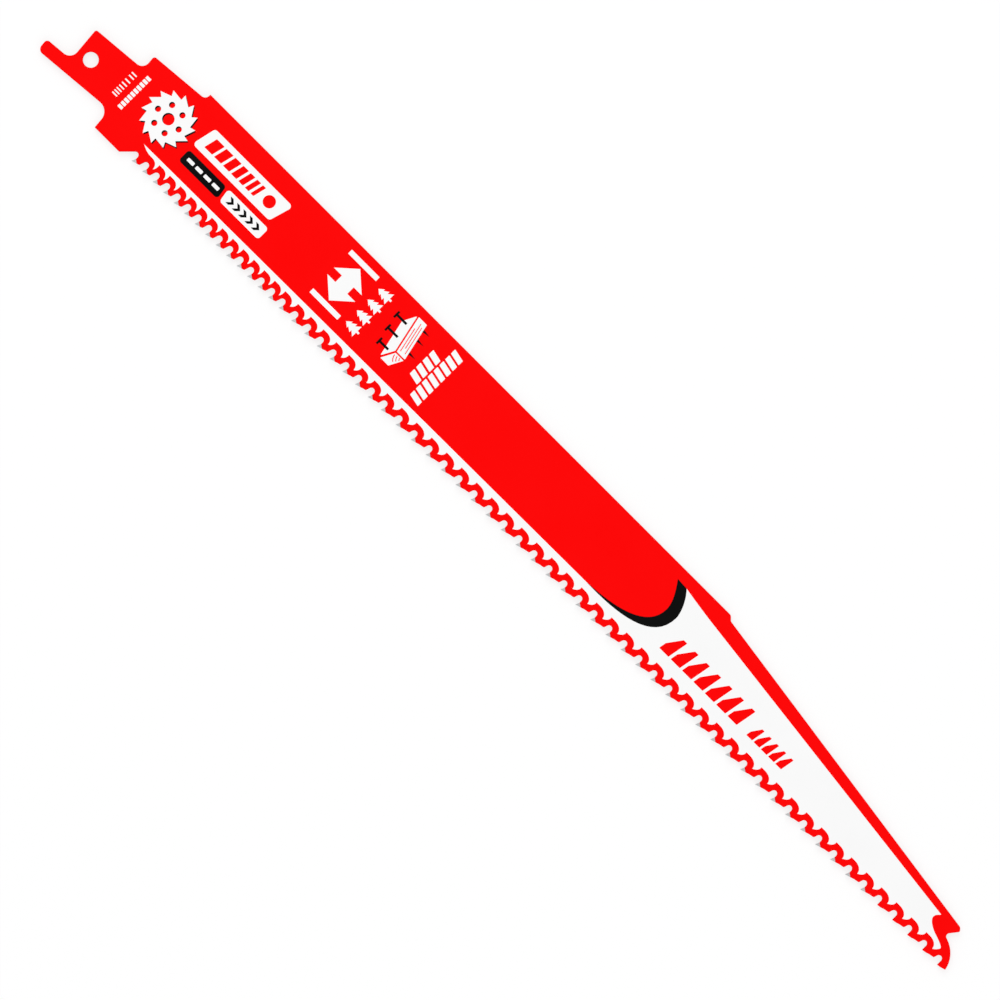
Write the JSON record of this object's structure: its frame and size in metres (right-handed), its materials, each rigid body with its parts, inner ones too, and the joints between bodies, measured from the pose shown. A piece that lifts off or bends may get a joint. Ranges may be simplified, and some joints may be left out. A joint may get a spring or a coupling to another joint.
{
  "type": "reciprocating saw blade",
  "caption": "Reciprocating saw blade with a drooped steel body, a drilled tang with a prong, teeth in three pitches with welded carbide tips, and a hooked nose.",
  "frame": {"origin": "centre of the tang's hole, halfway through the plate's thickness", "axes": "+X along the tang towards the nose, +Z out of the printed side, teeth towards -Y"},
  "size_m": [0.3083, 0.0478, 0.002],
  "materials": {
    "red_coating": "satin, smooth",
    "carbide": "ground, satin",
    "white_print": "satin ink",
    "black_print": "satin ink"
  },
  "bodies": {
    "root": {"blade_body": "red_coating", "carbide_tip_01": "carbide", "carbide_tip_02": "carbide", "carbide_tip_03": "carbide", "carbide_tip_04": "carbide", "carbide_tip_05": "carbide", "carbide_tip_06": "carbide", "carbide_tip_07": "carbide", "carbide_tip_08": "carbide", "carbide_tip_09": "carbide", "carbide_tip_10": "carbide", "carbide_tip_11": "carbide", "carbide_tip_12": "carbide", "carbide_tip_13": "carbide", "carbide_tip_14": "carbide", "carbide_tip_15": "carbide", "carbide_tip_16": "carbide", "carbide_tip_17": "carbide", "carbide_tip_18": "carbide", "carbide_tip_19": "carbide", "carbide_tip_20": "carbide", "carbide_tip_21": "carbide", "carbide_tip_22": "carbide", "carbide_tip_23": "carbide", "carbide_tip_24": "carbide", "carbide_tip_25": "carbide", "carbide_tip_26": "carbide", "carbide_tip_27": "carbide", "carbide_tip_28": "carbide", "carbide_tip_29": "carbide", "carbide_tip_30": "carbide", "carbide_tip_31": "carbide", "carbide_tip_32": "carbide", "carbide_tip_33": "carbide", "carbide_tip_34": "carbide", "carbide_tip_35": "carbide", "carbide_tip_36": "carbide", "carbide_tip_37": "carbide", "carbide_tip_38": "carbide", "carbide_tip_39": "carbide", "carbide_tip_40": "carbide", "carbide_tip_41": "carbide", "carbide_tip_42": "carbide", "carbide_tip_43": "carbide", "carbide_tip_44": "carbide", "carbide_tip_45": "carbide", "carbide_tip_46": "carbide", "carbide_tip_47": "carbide", "carbide_tip_48": "carbide", "carbide_tip_49": "carbide", "carbide_tip_50": "carbide", "carbide_tip_51": "carbide", "carbide_tip_52": "carbide", "carbide_tip_53": "carbide", "carbide_tip_54": "carbide", "carbide_tip_55": "carbide"}
  },
  "joints": []
}
